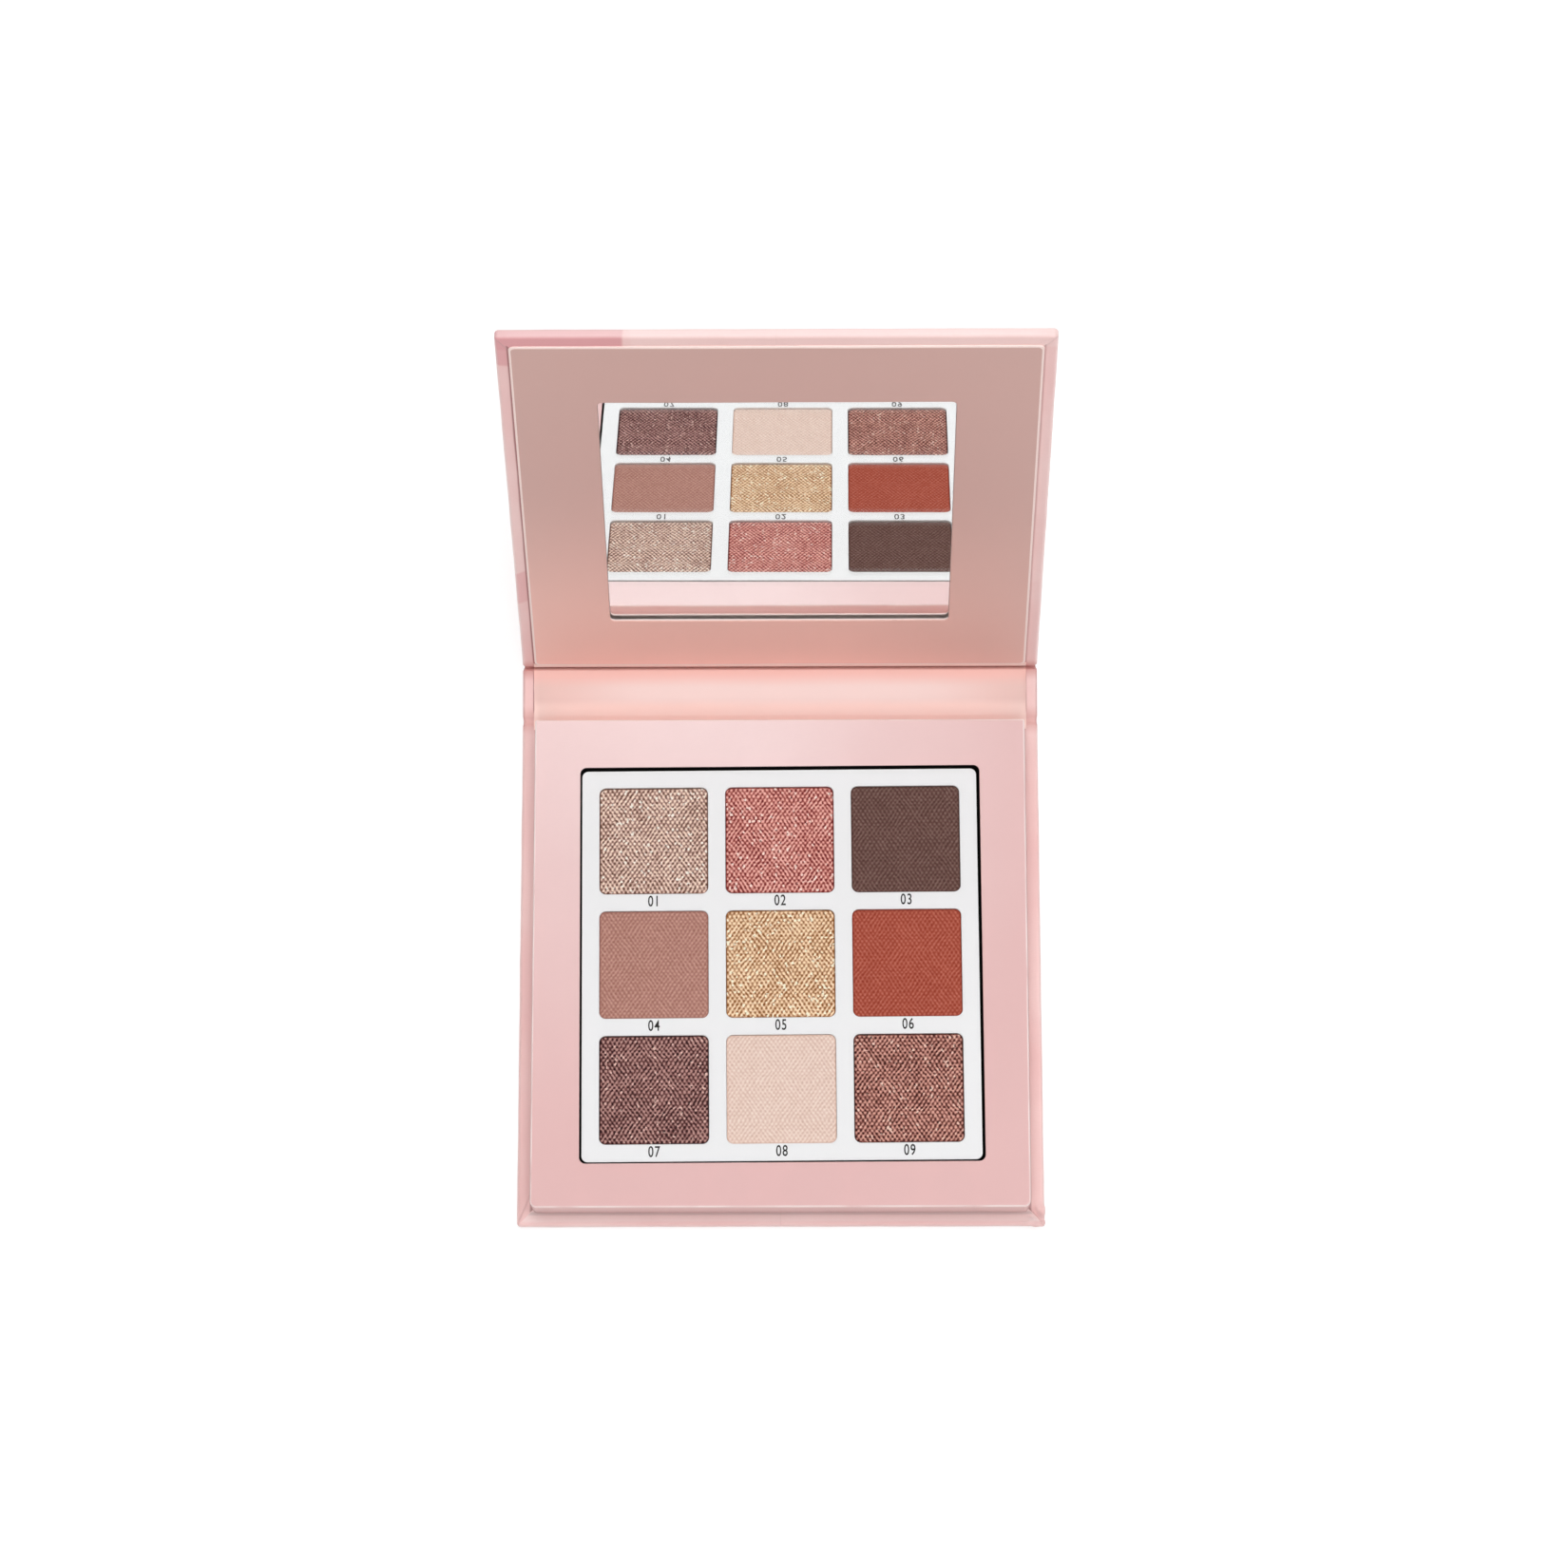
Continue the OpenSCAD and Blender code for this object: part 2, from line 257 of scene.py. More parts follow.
class Paint:
    # a new material; set gives its shader a number, a colour or a Value
    def __init__(self, name, roughness=0.5, specular=0.5, metallic=0.0, **fixed):
        self.material = bpy.data.materials.new(name)
        self.material.use_nodes = True
        self.tree = self.material.node_tree
        self.shader = self.tree.nodes["Principled BSDF"]
        self.set("Roughness", roughness)
        self.set("Metallic", metallic)
        self.set("Specular IOR Level", specular)
        for socket, value in fixed.items():
            self.set(socket, value)

    def set(self, socket, value):
        self.feed(self.shader.inputs[socket], value)

    def feed(self, socket, value):
        if isinstance(value, Value):
            self.tree.links.new(value.socket, socket)
        else:
            socket.default_value = value

    # settings are set first, then the inputs by name or place; "stops" fills a colour ramp
    def node(self, kind, settings=None, inputs=None, output=0):
        made = self.tree.nodes.new("ShaderNode" + kind)
        for key, value in (settings or {}).items():
            if key == "stops":
                ramp = made.color_ramp
                while len(ramp.elements) < len(value):
                    ramp.elements.new(1)
                for element, (place, colour) in zip(ramp.elements, value):
                    element.position, element.color = place, colour
            else:
                setattr(made, key, value)
        for key, value in (inputs or {}).items():
            self.feed(made.inputs[key], value)
        return Value(self, made.outputs[output])

    # Object coordinates
    def place(self):
        return self.node("TexCoord", output=3)

    # the place on the unfolded sheet
    def sheetPlace(self):
        return self.node("UVMap", {"uv_map": "sheet"})

    # a place's first two coordinates in millimetres
    def axes(self, where):
        return [self.node("SeparateXYZ", {}, {0: where}, axis) * (1 / mm) for axis in (0, 1)]

    def relief(self):
        return self.node("Attribute", {"attribute_name": "relief"}, {}, 2)

    # size is in millimetres
    def noise(self, size, detail=2, where=None, stretch=(1, 1, 1), roughness=0.5):
        where = self.node("Mapping", {}, {"Vector": where or self.place(), "Scale": stretch})
        inputs = {"Vector": where, "Scale": 1 / (size * mm), "Detail": detail, "Roughness": roughness}
        return self.node("TexNoise", {}, inputs)

    def mix(self, factor, first, second, blend="MIX"):
        settings = {"data_type": "RGBA", "blend_type": blend, "clamp_factor": True}
        return self.node("Mix", settings, {0: factor, 6: first, 7: second}, output=2)

    def bump(self, height, depth):
        inputs = {"Height": height, "Distance": depth * mm, "Strength": 1.0}
        self.set("Normal", self.node("Bump", {}, inputs))
        return self.material


# an sRGB colour written as 0 to 255, as a linear colour
def tint(red, green, blue):
    channels = np.array([red, green, blue]) / 255
    linear = np.where(channels > 0.04045, ((channels + 0.055) / 1.055) ** 2.4, channels / 12.92)
    return (*(float(c) for c in linear), 1.0)


# a linear colour made darker or lighter
def shaded(colour, gain):
    return (*(min(c * gain, 1.0) for c in colour[:3]), 1.0)


laminate = {
    "clouds": 14, "mottle": 0.06, "tooth": 0.16, "roughness": 0.42, "bump": 0.006,
    "fibre": 0.9, "fibreStretch": (1, 5, 5), "fibreRoughness": 0.65,
}


# Clouds and fibres in a darker tone over a paper's print, then its roughness, coat and bump. A worn edge is
# a mask and the colour that it shows over all of them; on the platform this is a painted highlight along
# with wear.
def paperFinish(paint, base, dark, fibreShare, coat, coatRoughness, worn=None):
    clouds, tooth = paint.noise(laminate["clouds"], 3), paint.noise(laminate["tooth"], 2)
    fibres = paint.noise(
        laminate["fibre"], 3, stretch=laminate["fibreStretch"], roughness=laminate["fibreRoughness"]
    )
    base = paint.mix(clouds.ramp(0.3, 0.7) * laminate["mottle"], base, dark)
    base = paint.mix(fibres * fibreShare, base, dark)
    if worn:
        mask, colour = worn
        base = paint.mix(mask, base, colour)
    paint.set("Base Color", base)
    paint.set("Roughness", laminate["roughness"] + 0.1 * (clouds - 0.5) + 0.06 * (tooth - 0.5))
    paint.set("Coat Weight", coat)
    paint.set("Coat Roughness", coatRoughness)
    return paint.bump(fibres * 0.7 + tooth * 0.3, laminate["bump"])


linerTones = {
    "strip": tint(242, 217, 212),
    "stripEnds": tint(234, 196, 188),
    # painted light and shade along the strip: where each fade starts, where it is full, and its colour
    "stripPaintedShading": [
        # paler before the base hinge: painted light over the crease's shade
        (spineStart + 3.4, spineStart + 1.2, tint(255, 221, 212)),
        # salmon before the lid crease: painted shade
        (spineEnd - 3.6, spineEnd - 0.2, tint(246, 190, 180)),
        # dark line in the lid crease: painted shade
        (lidLine - 0.35, lidLine, tint(176, 104, 96)),
    ],
    "face": tint(209, 169, 161),
    # warmer and paler towards the crease: painted bounce light from the pink base, the top staying darker
    "facePaintedBounceLight": [(lidLine + 62, lidLine + 2, tint(255, 202, 190))],
    # the painted light weakens towards the right: painted shade on the right side
    "faceRightward": 0.55,
}


# Laminated paper with painted light and shade in fades along the sheet over its colour. The colour at its
# left and right ends may differ, and with rightward the painted fades weaken towards the right side.
def paperWithPaintedLight(name, plain, paintedFades, coat, rightward=0.0, ends=None):
    paint = Paint(name, specular=0.4)
    across, along = paint.axes(paint.sheetPlace())
    drift = paint.noise(30, 2) - 0.5
    base = paint.mix((across.size() + 8 * drift).ramp(24, 48), plain, ends or plain)
    for start, full, colour in paintedFades:
        share = (along + 1.2 * drift).ramp(start, full)
        if rightward:
            share = share * (1 - rightward * (across + 10 * drift).ramp(5, 55))
        base = paint.mix(share, base, colour)
    deepest = paintedFades[0][2]
    return paperFinish(paint, base, shaded(deepest, 0.8), 0.14, coat, 0.3)


platformTones = {
    "paintedSheenAt": (-16, 52),
    "reach": (0, 92),
    # the painted sheen's colour
    "pale": tint(252, 223, 222),
    "ground": tint(233, 187, 185),
    # the pale edges' colour: a painted highlight along with wear
    "worn": tint(255, 240, 236),
}


# The platform's paper is painted paler towards a place at its back, a painted sheen, and painted pale on its
# edges where the relief is high, a painted highlight along with wear
def platformPrint():
    paint = Paint("platform paper", specular=0.4)
    x, y = paint.axes(paint.place())
    x, y = x - platformTones["paintedSheenAt"][0], y - platformTones["paintedSheenAt"][1]
    far = (x * x + y * y) ** 0.5 + 30 * (paint.noise(40, 2) - 0.5)
    # paler towards the back: a painted sheen
    base = paint.mix(far.ramp(*platformTones["reach"]), platformTones["pale"], platformTones["ground"])
    worn = (paint.relief() * 0.8, platformTones["worn"])
    return paperFinish(paint, base, shaded(platformTones["ground"], 0.8), 0.1, 0.8, 0.2, worn)


printed = {
    "ground": tint(244, 199, 196),
    "pale": tint(250, 216, 212),
    "deep": tint(226, 156, 160),
    "rose": tint(236, 178, 178),
    # darker rolled edges, fold cuts and crumples: painted shade
    "rim": tint(206, 160, 160),
    # painted highlight on rolled edges and the front margin
    "paintedHighlight": tint(255, 238, 235),
    # painted shadow beside the liner
    "line": tint(160, 100, 98),
    # painted contact shadow round the platform's foot
    "footShadow": tint(120, 74, 74),
    # painted shade at the creases' ends
    "creaseEndShade": tint(206, 134, 126),
    "shadowLineAt": 53.8,  # beside the liner, on the unfolded sheet
    "frontMargin": 2.2,
    "border": (50, 51),
    "creases": ((lidLine, 0.75), (baseLine, 0.5)),
    # soft-edged slanted strokes on the unfolded sheet: tone, centre x and s, half length and width, slant
    "strokes": [
        ("deep", -48, 164, 20, 11.5, 6), ("rose", -54, 88, 7, 4, -30), ("pale", 56, 92, 4.5, 1.8, 35),
        ("deep", -30, 120, 18, 12, 35), ("rose", 20, 92, 24, 10, -28), ("pale", 24, 134, 16, 10, 48),
        # the pale stroke at x 34, s 166 lies along the lid's top edge: a painted highlight
        ("pale", 34, 166, 60, 9, 0), ("rose", -8, 142, 13, 6, -40), ("rose", 30, 74, 12, 5, 10),
        ("deep", 4, 26, 30, 12, 24), ("rose", -26, -6, 18, 10, -35), ("pale", 22, -22, 20, 11, 12),
        ("deep", -14, -30, 12, 8, 52), ("rose", 30, 22, 13, 8, -50), ("pale", -30, 38, 13, 8, 8),
        ("deep", 10, 4, 12, 7, -12), ("rose", -34, -34, 10, 6, 15), ("deep", -48, 166, 20, 9.5, 6),
    ],
}
platformLow, platformHigh = corners("platform_wrap")


# Cover paper printed with overlapping slanted strokes, laid out on the unfolded sheet. Over them come
# painted shade and highlights from the relief, painted shadows beside the liner and round the platform's
# foot, a painted highlight on the front and painted shade at the creases' ends.
def printedPaper():
    paint = Paint("printed wrap paper", specular=0.45)
    where = paint.sheetPlace()
    flatX, flatS = paint.axes(where)
    wander = paint.noise(18, 2, where=where) - 0.5
    x, s = flatX + 3 * wander, flatS - 3 * wander
    clouds = paint.noise(30, 3, where=where)
    base = paint.mix(clouds.ramp(0.3, 0.7), printed["ground"], printed["pale"])
    for toneName, centreX, centreS, halfLong, halfWide, slant in printed["strokes"]:
        cosine, sine = math.cos(math.radians(slant)), math.sin(math.radians(slant))
        along = ((x - centreX) * cosine + (s - centreS) * sine).size() - halfLong
        across = ((s - centreS) * cosine - (x - centreX) * sine).size() - halfWide
        mask = 1 - along.most(across).ramp(-0.35, 0.35)
        base = paint.mix(mask * 0.75, base, printed[toneName])
    relief = paint.relief()
    # the relief paints shade above 0 and a highlight below 0
    base = paint.mix(relief.most(0.0) * 0.7, base, printed["rim"])
    base = paint.mix((0.0 - relief).most(0.0) * 0.7, base, printed["paintedHighlight"])
    # a painted shadow line beside the liner, stronger on the left, from the spine on
    besideShadow = 1 - (flatX.size() + 0.3 * wander - printed["shadowLineAt"]).size().ramp(0.1, 0.42)
    shadowLeftward = 0.5 + 0.4 * (0 - flatX).ramp(0, 1)
    base = paint.mix(besideShadow * shadowLeftward * (flatS - spineStart).ramp(0, 1), base, printed["line"])
    # what the rounded edge adds once it is unrolled, and so where the platform's foot is
    over = math.pi * sheet["edgeRadius"] + boardThick - 4 * sheet["edgeRadius"]
    footX = float(2 * halfWidth + over - platformHigh[0])
    footS = float(2 * caseLow[1] - over - platformLow[1])
    # a painted contact shadow round the platform's foot, on the base only
    footShadow = 1 - ((flatX.size() - footX).most(footS - flatS) + 0.1).size().ramp(0.1, 0.55)
    base = paint.mix(footShadow * 0.6 * (1 - (flatS - baseLine).ramp(-1, 0)), base, printed["footShadow"])
    # a painted highlight over the base's front margin
    front = (footS + printed["frontMargin"] - flatS).ramp(0, 0.8)
    base = paint.mix(front * 0.5, base, printed["paintedHighlight"])
    # painted shade on the borders at each crease's ends
    border = flatX.size().ramp(*printed["border"])
    for line, share in printed["creases"]:
        creaseEndShade = 1 - (flatS - line - 0.8 * wander).size().ramp(0.5, 3.4)
        base = paint.mix(creaseEndShade * border * share, base, printed["creaseEndShade"])
    tooth = paint.noise(laminate["tooth"], 2)
    fibres = paint.noise(0.8, 3, stretch=(1, 4, 4), roughness=laminate["fibreRoughness"])
    paint.set("Base Color", paint.mix(fibres * 0.16, base, shaded(printed["deep"], 0.9)))
    paint.set("Roughness", 0.36 + 0.08 * (tooth - 0.5) + 0.05 * (clouds - 0.5))
    paint.set("Coat Weight", 0.35)
    paint.set("Coat Roughness", 0.25)
    return paint.bump(fibres * 0.7 + tooth * 0.3, laminate["bump"])


# Uncoated card: a little speckle and a soft tooth
def plainCard(name, colour, speckle=0.04, roughness=0.6, tooth=0.008, grain=0.25, coat=0.0):
    paint = Paint(name, roughness=roughness, specular=0.3, **{"Coat Weight": coat, "Coat Roughness": 0.2})
    clouds, fine = paint.noise(9, 3), paint.noise(grain, 3, roughness=0.7)
    base = paint.mix(clouds, shaded(colour, 1 - speckle), shaded(colour, 1 + speckle))
    paint.set("Base Color", paint.mix(fine.ramp(0.45, 0.8) * 0.5, base, shaded(colour, 1 - 3 * speckle)))
    paint.set("Roughness", roughness + 0.12 * (fine - 0.5))
    return paint.bump(fine, tooth)


def greyboard():
    paint = Paint("greyboard", specular=0.2)
    flecks, fibres = paint.noise(0.35, 4, roughness=0.75), paint.noise(1.4, 3, stretch=(1, 6, 1))
    base = paint.mix(fibres, tint(150, 144, 135), tint(171, 165, 156))
    paint.set("Base Color", paint.mix(flecks.ramp(0.55, 0.72), base, tint(104, 98, 92)))
    paint.set("Roughness", 0.8 + 0.15 * (flecks - 0.5))
    return paint.bump(flecks, 0.03)


def metal(name, colour, roughness, grain, stretch):
    paint = Paint(name, metallic=1.0)
    lines, stains = paint.noise(grain, 3, stretch=stretch), paint.noise(6, 3)
    paint.set("Base Color", paint.mix(stains, shaded(colour, 0.86), colour))
    paint.set("Roughness", roughness + 0.16 * (lines - 0.5))
    return paint.bump(lines, 0.002)


def plastic(name, colour, roughness, grain=0.3):
    paint = Paint(name, specular=0.4)
    fine, clouds = paint.noise(grain, 2), paint.noise(7, 2)
    paint.set("Base Color", paint.mix(clouds, colour, shaded(colour, 1.3)))
    paint.set("Roughness", roughness + 0.15 * (fine - 0.5))
    return paint.bump(fine, 0.008)


def clearGlass():
    fixed = {"Base Color": (0.995, 1.0, 0.998, 1), "Transmission Weight": 1.0, "IOR": 1.5}
    paint = Paint("mirror glass", roughness=0.0, **fixed)
    return paint.material


def silvering():
    paint = Paint("silvering", metallic=1.0)
    haze = paint.noise(20, 2)
    paint.set("Base Color", paint.mix(haze, (0.98, 0.985, 0.985, 1), (0.99, 0.995, 0.995, 1)))
    paint.set("Roughness", 0.008 + 0.006 * haze)
    return paint.material


# depth and pitch shape the weave, flake and grit are sizes; all in millimetres. The rest are shares: of the
# colour that follows the weave, which is painted shade and light, of the flakes and the slow bloom, and of
# the flakes painted with a glint.
powderKinds = {
    "shimmer": {
        "weave": 1.35, "grain": 0.5, "bloom": 0.35, "glints": 0.022, "rough": 0.6,
        "grit": 0.01, "flake": 0.42, "depth": 0.085, "pitch": 0.7,
    },
    # below 0 no flake gets a painted glint
    "matte": {
        "weave": 0.8, "grain": 0.25, "bloom": 0.1, "glints": -0.12, "rough": 0.9,
        "grit": 0.008, "flake": 0.46, "depth": 0.05, "pitch": 0.68,
    },
}
# name, kind, colours of the valleys, middle and crests (painted shade to painted light) and of the painted
# glints, and the share of painted glints if it is its own
powders = [
    ("taupe", "shimmer", (104, 72, 60), (187, 149, 136), (246, 222, 204), (255, 250, 240), None),
    ("rose", "shimmer", (114, 42, 42), (189, 109, 101), (240, 184, 172), (255, 232, 222), None),
    ("cocoa", "matte", (74, 50, 46), (103, 75, 69), (136, 107, 99), (160, 130, 120), None),
    ("clay", "matte", (150, 102, 91), (178, 129, 117), (206, 161, 147), (220, 180, 165), None),
    ("gold", "shimmer", (138, 86, 44), (210, 166, 128), (252, 226, 192), (255, 250, 226), 0.05),
    ("brick", "matte", (138, 54, 40), (168, 82, 66), (196, 112, 94), (214, 130, 110), None),
    ("plum", "shimmer", (48, 26, 28), (116, 74, 72), (192, 149, 141), (240, 204, 192), 0.008),
    ("cream", "matte", (210, 176, 160), (231, 203, 190), (246, 228, 216), (255, 240, 230), None),
    ("copper", "shimmer", (62, 32, 28), (148, 90, 82), (220, 168, 152), (246, 214, 198), 0.01),
]


def powderLook(name, kind, low, mid, high, glint, glints):
    look = {"name": name, **powderKinds[kind]}
    look.update(low=tint(*low), mid=tint(*mid), high=tint(*high), glint=tint(*glint))
    if glints is not None:
        look["glints"] = glints
    return look


# Pressed powder: colour from valley to crest of the pressed weave, painted shade and light, with flakes
# painted near white as glints. Its relief attribute is the height of the weave, from 0 to 1.
def pressedPowder(number, look):
    paint = Paint(f"powder {number} {look['name']}", roughness=look["rough"], specular=0.06)
    crest = paint.relief()
    flake = paint.node("TexVoronoi", {}, {"Vector": paint.place(), "Scale": 1 / (look["flake"] * mm)}, 1)
    luck = paint.node("SeparateColor", {}, {0: flake}, 0)
    glance = paint.node("SeparateColor", {}, {0: flake}, 1)
    bloom = paint.noise(7, 3)
    # the colour follows the weave's height, darker in the valleys and lighter on the crests: painted shade
    # and light, with random grain and bloom
    level = (crest - 0.5) * look["weave"] + (luck - 0.5) * look["grain"]
    level = level + (bloom - 0.5) * look["bloom"] + 0.5
    stops = [(0.0, look["low"]), (0.5, look["mid"]), (1.0, look["high"])]
    base = paint.node("ValToRGB", {"stops": stops}, {0: level})
    # flakes painted near white as glints, more often on the crests
    rare = 1 - look["glints"]
    paintedSparkle = (glance + 0.1 * crest).ramp(rare, rare + 0.06)
    paint.set("Base Color", paint.mix(paintedSparkle * 0.85, base, look["glint"]))
    paint.set("Roughness", look["rough"] - 0.12 * luck)
    grit = paint.noise(0.14, 2)
    return paint.bump(grit * 0.6 + luck * 0.4, look["grit"])


wrapPaper = printedPaper()
platformPaper = platformPrint()
linerPaper = paperWithPaintedLight(
    "liner paper", linerTones["strip"], linerTones["stripPaintedShading"], 0.8, ends=linerTones["stripEnds"]
)
linerFace = paperWithPaintedLight(
    "lid liner paper", linerTones["face"], linerTones["facePaintedBounceLight"], 0.2, linerTones["faceRightward"]
)
# pale card core at cut sides; on the lid liner's outer round edge it is a painted highlight
linerCut = plainCard("liner card cut edge", tint(252, 228, 222))
cardWhite = plainCard("deck card", tint(240, 240, 241), speckle=0.012, roughness=0.4, tooth=0.004, coat=1.0)
cardCut = plainCard("deck card cut edge", tint(232, 230, 228))
blackPaper = plainCard("black paper", tint(26, 23, 22), speckle=0.2, roughness=0.75)
ink = plastic("grey ink", tint(40, 36, 36), 0.55)
print("materials made")

cadFinishes = {
    greyboard(): ["base_board", "platform_core", "spine_board", "lid_board", "lid_frame_board"],
    linerPaper: ["base_liner_flap", "lid_liner_flap"],
    blackPaper: ["well_floor", "well_liner"],
    plastic("black tray", tint(24, 22, 22), 0.6): ["pan_tray"],
    plastic("clear glue", tint(226, 216, 190), 0.35, 1.2): ["platform_adhesive", "pan_adhesive"],
    plastic("foam tape", tint(240, 236, 226), 0.7, 0.5): ["mirror_tape"],
    metal("nickel", tint(202, 202, 198), 0.28, 0.6, (1, 1, 8)): ["base_magnets", "lid_magnets"],
    metal("tinplate", tint(208, 210, 212), 0.3, 0.5, (1, 12, 1)): [f"pan_{n}" for n in range(1, 10)],
    silvering(): ["mirror_silver"],
}
for finish, members in cadFinishes.items():
    for member in members:
        for slot in nodes[member].material_slots:
            slot.material = finish
print("CAD nodes finished")


# Section of the wrap over a board's edge, from the turned-in end to the middle of the outer face: its inset
# from the outline, its height from the mid-plane, its normal, and its inset once unrolled, which is the
# length along it. Two quarter circles of the edge radius join the flats.
def edgeSection():
    radius, half = sheet["edgeRadius"], midPlane
    flatIn = np.geomspace(sheet["turnIn"], radius, 26)[:-1]
    flatOut = np.geomspace(radius, halfWidth, 14)[1:]
    angle = np.linspace(0, math.pi, 17)
    rise = np.where(angle < math.pi / 2 + 1e-9, half - radius, radius - half)
    angle = np.insert(angle, 9, math.pi / 2)
    rise = np.insert(rise, 9, radius - half)
    inset = np.r_[flatIn, radius * (1 - np.sin(angle)), flatOut]
    height = np.r_[np.full(flatIn.size, half), rise + radius * np.cos(angle), np.full(flatOut.size, -half)]
    normalIn = np.r_[flatIn * 0, -np.sin(angle), flatOut * 0]
    normalUp = np.r_[flatIn * 0 + 1, np.cos(angle), flatOut * 0 - 1]
    length = np.r_[0, np.cumsum(np.hypot(np.diff(inset), np.diff(height)))]
    edgeAt = length[flatIn.size + angle.size - 1]
    return inset, height, normalIn, normalUp, length - edgeAt + radius


# Places of a cover's rings: for each inset, the outline of the board moved inwards, along one side, round
# the first corner, along the free edge, round the second corner and back. x is across and e is the distance
# from the free edge, as laid on the board and as unrolled, with the outline's outward direction.
def coverRings(inset, unrolled):
    inset, unrolled = inset[None, :], unrolled[None, :]
    radius = np.minimum(np.maximum(sheet["cornerRadius"] - inset, 0.12), np.maximum(halfWidth - inset, 0))
    centre = inset + radius
    run = np.linspace(1, 0, 110)[:, None] ** 1.8
    across = (1 - np.linspace(1, 0, 90)[:, None] ** 1.8)[:-1]
    turn = np.linspace(0, math.pi / 2, 12)[1:-1, None]

    def ring(at, out):
        sideX, sideE = -(halfWidth - at) + 0 * run, centre + run * (caseDepth - centre)
        cornerX, cornerE = -(halfWidth - centre) - out * np.cos(turn), centre - out * np.sin(turn)
        edgeX, edgeE = -(halfWidth - centre) * (1 - across), at + 0 * across
        halfX, halfE = np.concatenate([sideX, cornerX, edgeX]), np.concatenate([sideE, cornerE, edgeE])
        return np.concatenate([halfX, 0 * at, -halfX[::-1]]), np.concatenate([halfE, at, halfE[::-1]])

    x, e = ring(inset, radius)
    flatX, flatE = ring(unrolled, radius + inset - unrolled)
    outX = np.concatenate([0 * run - 1, -np.cos(turn), 0 * across])
    outE = np.concatenate([0 * run, -np.sin(turn), 0 * across - 1])
    outX = np.concatenate([outX, [[0]], -outX[::-1]])
    outE = np.concatenate([outE, [[-1]], outE[::-1]])
    return x, e, flatX, flatE, outX, outE


# each: side, slope of the cut, step of the flaps, height of the crumpled ridges
cornerFolds = {
    "base": [(-1, 0.42, 0.2, 0.05), (1, 0.9, 0.24, 0.8)],
    "lid": [(-1, 0.7, 0.14, 0.08), (1, 0.8, 0.12, 0.1)],
}


# Relief of a turned-in border: at each corner the free edge's flap lies over the side's flap along a slanted
# cut, with the facets of a crumpled corner over both
def foldRelief(x, e, folds):
    relief = 0 * x
    for side, slope, step, ridge in folds:
        fromSide = halfWidth - side * x
        off = (fromSide - slope * e) / math.hypot(1, slope)
        near = np.where(side * x > 0, 1, 0)
        relief = relief + near * step * smooth(off / 0.16 + 0.5) + ridge * crumple(x, e, side)
    return relief


# Facets of a crushed corner, |t mod 1 - 1/2| along two slanted directions t, fading away from the corner
def crumple(x, e, side):
    fromSide = halfWidth - side * x
    facets = np.abs((fromSide - 0.5 * e) / 1.7 % 1 - 0.5)
    facets = facets + 0.8 * np.abs((e + 0.4 * fromSide) / 2.3 % 1 - 0.5)
    return np.where(side * x > 0, facets * smooth((4.4 - np.hypot(fromSide, e)) / 1.2), 0)


# Painted shade along the cut of each corner's flaps and in the hollows of a crumpled corner
def paintedFoldShade(x, e, folds):
    darker = 0 * x
    for side, slope, _, ridge in folds:
        off = (halfWidth - side * x - slope * e) / math.hypot(1, slope)
        cut = 0.55 * np.exp(-((off / 0.22) ** 2)) * (side * x > 0)
        darker = np.maximum(darker, np.maximum(cut, 2 * ridge * (crumple(x, e, side) - 0.25)))
    return darker


# A cover's paper: the edge's section carried round the board's outline. Each place moves along its normal by
# the folds' relief and a slow ripple, and the inner layer lies one paper thickness behind. The relief
# attribute is painted tone: above 0 painted shade, below 0 a painted highlight.
def coverWrap(name, body, node, freeEdge, direction, folds, rimPaintedTone, seed):
    inset, height, normalIn, normalUp, unrolled = edgeSection()
    x, e, flatX, flatE, outX, outE = coverRings(inset, unrolled)
    s, flatS = freeEdge + direction * e, freeEdge + direction * flatE
    fade = smooth((caseDepth - e) / 4)
    upper = smooth(normalUp[None, :] * 1.2) * fade
    rolled = -normalIn[None, :] * fade
    walk = np.where(np.abs(outX) > 0.5, e, x)
    lift = upper * (foldRelief(x, e, folds) + 0.02 * ripple(walk, 17, seed) * smooth((5 - inset) / 3))
    lift = lift + rolled * 0.035 * ripple(walk, 23, seed + 1)
    sides = []
    for depth in (0, sheet["paper"]):
        move = lift - depth
        px = x + move * -normalIn * outX
        ps = s + direction * move * -normalIn * outE
        sides.append(toRest(px, ps, height + move * normalUp))
    uv = np.stack([flatX, flatS], axis=-1)
    # painted tone on the rolled edge: above 0 painted shade, below 0 a painted highlight
    rim = rimPaintedTone * smooth(-normalIn * 1.4 - 0.3)[None, :] + 0 * x
    # painted shade along the flaps' cuts and in crumpled hollows, on the upper side
    rim = rim + paintedFoldShade(x, e, folds) * (normalUp > 0)
    patches = closedSheet(*sides, uv, rim, meeting=True)
    makePiece(name, patches, [wrapPaper], body, [node])


# both covers' rolled edges take a painted highlight
coverWrap("base_cover_paper", "base", "base_wrap", caseLow[1], 1, cornerFolds["base"], -0.3, 3)
coverWrap("lid_cover_paper", "lid", "lid_wrap", lidEnd, -1, cornerFolds["lid"], -0.6, 8)
print("covers wrapped")


# How far the paper's inner layer sinks into the hinge gaps
def pinch(s):
    return sheet["basePinch"] * gapBump(s, baseLine) + sheet["lidPinch"] * gapBump(s, lidLine)


# Gathers of the turned-in borders at the ends of a crease
def gathers(x, s):
    edge = np.exp(-((np.abs(x) - halfWidth + 0.9) / 0.8) ** 2)
    ends = gapBump(s, lidLine) * np.cos(2 * math.pi * (s - lidLine) / 1.1) * 0.28
    return edge * (ends + gapBump(s, baseLine) * 0.1 * np.cos(2 * math.pi * (s - baseLine) / 1.3))


